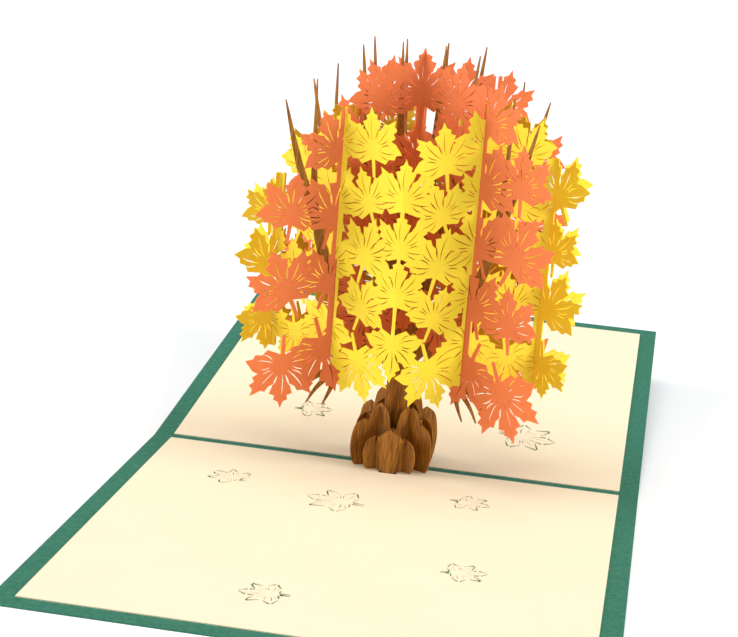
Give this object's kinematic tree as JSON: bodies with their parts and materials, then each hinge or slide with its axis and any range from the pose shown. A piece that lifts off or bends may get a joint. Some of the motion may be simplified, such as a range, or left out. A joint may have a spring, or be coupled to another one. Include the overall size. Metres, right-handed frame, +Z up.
{
  "type": "pop up card",
  "caption": "Open pop up card with a green folded cover, cream liners and a slotted paper maple tree in yellow and orange leaf on its fold.",
  "frame": {"origin": "under the middle of the fold, on the face that the card rests on", "axes": "+X along the fold, to the right of someone who looks at the card's front; +Y away from them, to the raised back half; +Z up the tree"},
  "size_m": [0.15, 0.2989, 0.13],
  "materials": {
    "green_card": "matt card with a fine felt grain",
    "cream_card": "smooth matt card",
    "brown_paper": "matt paper with a vertical grain",
    "orange_paper": "smooth matt paper",
    "yellow_paper": "smooth matt paper"
  },
  "bodies": {
    "root": {"cover": "green_card", "front_liner": "cream_card", "back_liner": "cream_card", "trunk_sheet_1": "brown_paper", "trunk_sheet_2": "brown_paper", "pot_rib_1": "brown_paper", "pot_rib_2": "brown_paper", "pot_rib_3": "brown_paper", "pot_rib_4": "brown_paper", "pot_petal_front": "brown_paper", "pot_petal_back": "brown_paper", "orange_leaf_sheet_1": "orange_paper", "orange_leaf_sheet_2": "orange_paper", "yellow_leaf_sheet_front": "yellow_paper", "yellow_leaf_sheet_back": "yellow_paper"}
  },
  "joints": []
}
